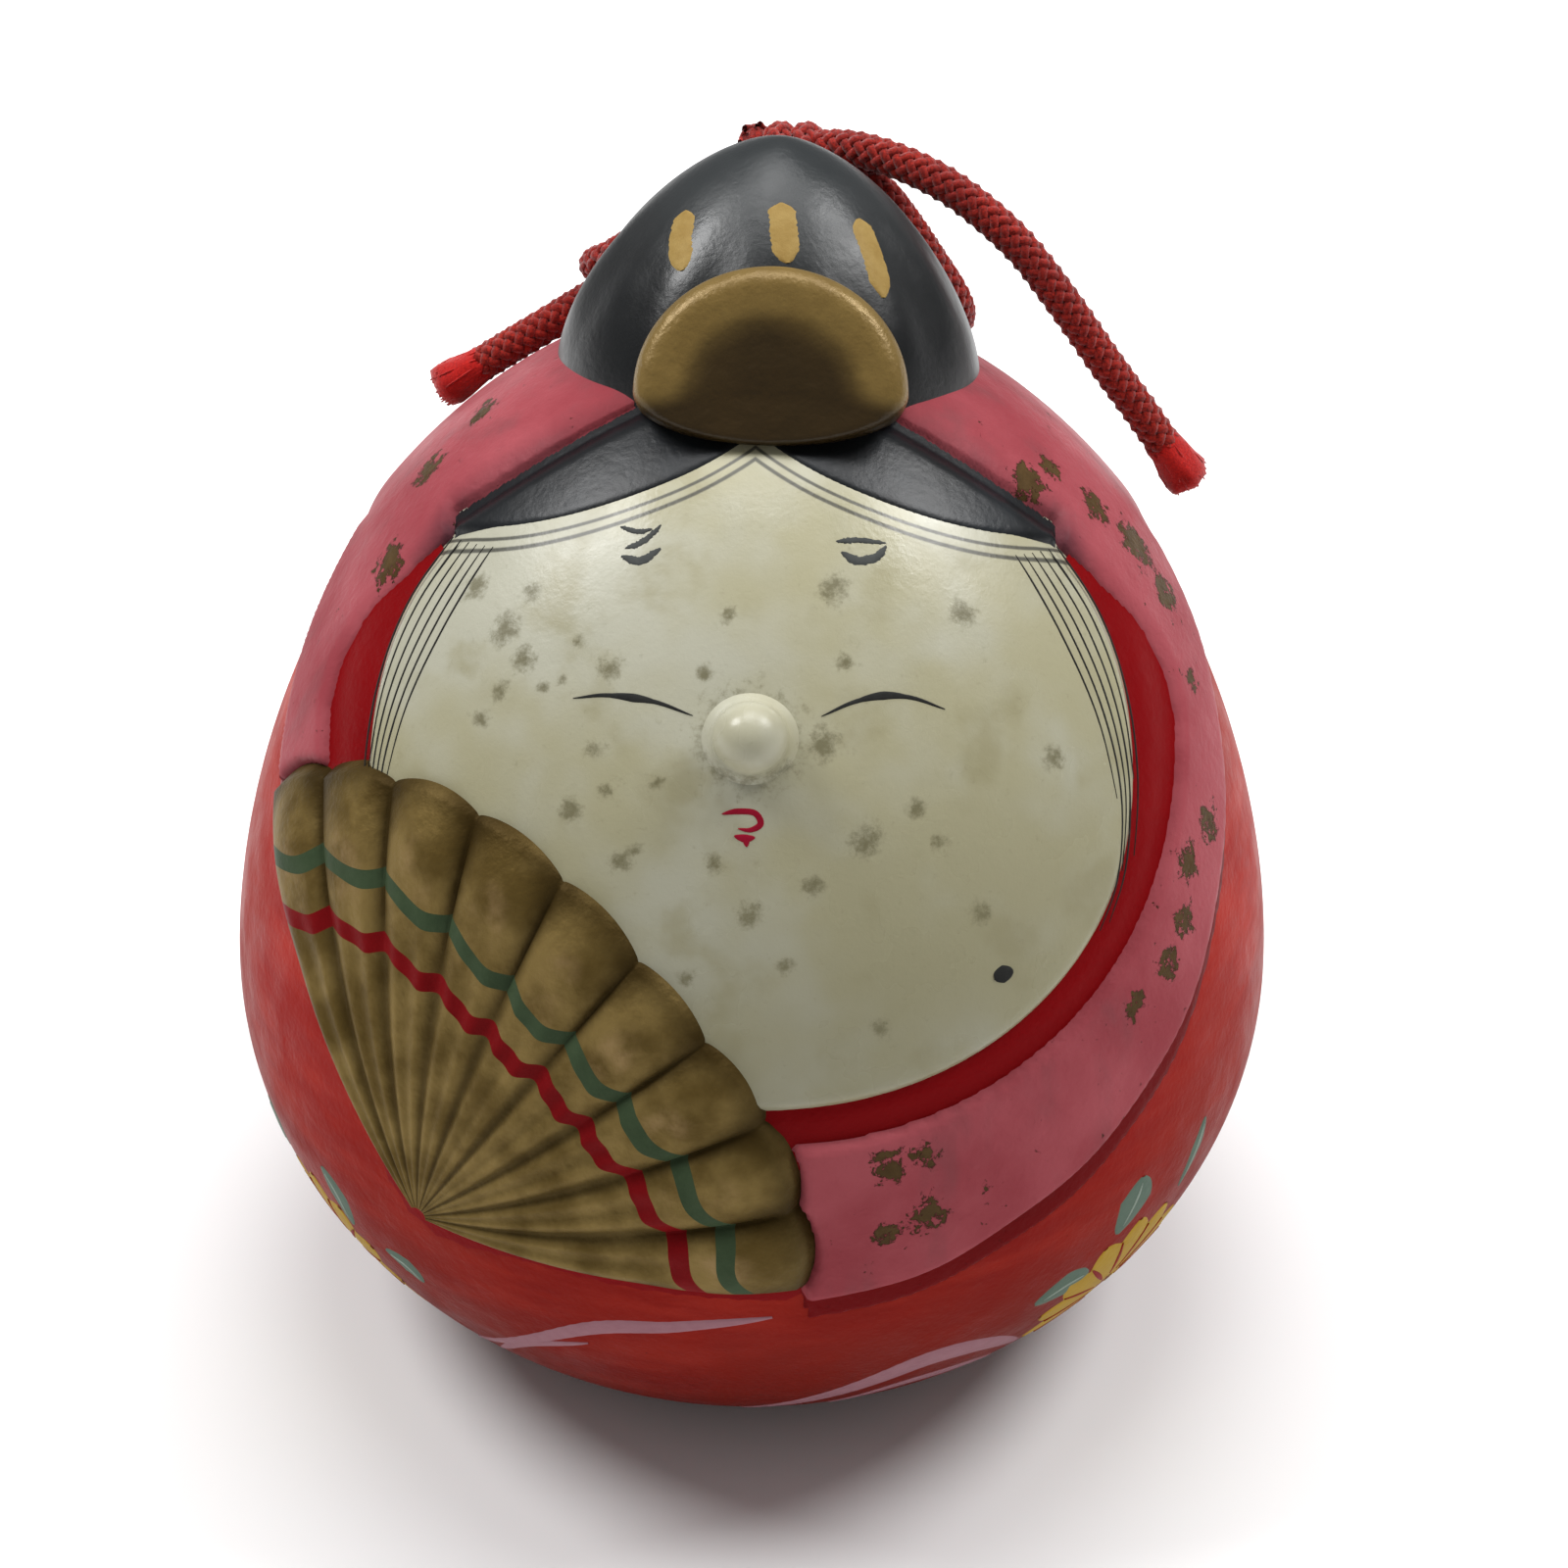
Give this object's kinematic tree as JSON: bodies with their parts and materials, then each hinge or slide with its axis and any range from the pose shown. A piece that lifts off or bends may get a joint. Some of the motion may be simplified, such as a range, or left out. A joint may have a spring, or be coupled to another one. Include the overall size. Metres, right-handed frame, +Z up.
{
  "type": "clay bell doll",
  "caption": "Hollow clay bell shaped as a hooded lady daruma with a fan, a loose pellet inside, a sound slot below and a braided cord tied in a bow behind the hair bun.",
  "frame": {"origin": "middle of the flat base, on the surface the bell stands on", "axes": "+Z up, -Y the way the face looks, +X towards the right of a viewer who faces it"},
  "size_m": [0.066, 0.0686, 0.0761],
  "materials": {
    "red_paint": "satin paint on fired clay",
    "pink_paint": "worn satin paint on fired clay",
    "dark_red_paint": "satin paint on fired clay",
    "face_paint": "aged gloss varnish over cream paint",
    "black_paint": "satin paint on fired clay",
    "gold_paint": "dull gold paint on fired clay",
    "bare_clay": "bare fired clay",
    "red_cord": "braided cord",
    "red_thread": "frayed thread"
  },
  "bodies": {
    "bell": {"body_front": "red_paint", "body_back": "red_paint", "hood_left": "pink_paint", "hood_right": "pink_paint", "hood_back": "pink_paint", "lining_left": "dark_red_paint", "lining_right": "dark_red_paint", "face": "face_paint", "nose": "face_paint", "hair_left": "black_paint", "hair_right": "black_paint", "hair_bun": "black_paint", "comb": "gold_paint", "fan": "gold_paint", "cord_ring": "red_cord", "cord_knot": "red_cord", "left_loop": "red_cord", "left_tail": "red_cord", "left_frayed_end": "red_thread", "right_loop": "red_cord", "right_tail": "red_cord", "right_frayed_end": "red_thread"},
    "rattle": {"pellet": "bare_clay"}
  },
  "joints": [
    {"name": "pellet_roll", "type": "hinge", "parent": "bell", "child": "rattle", "pos_m": [0, 0, 0.052], "axis": [0, 1, 0], "range_deg": [-25, 25]}
  ]
}
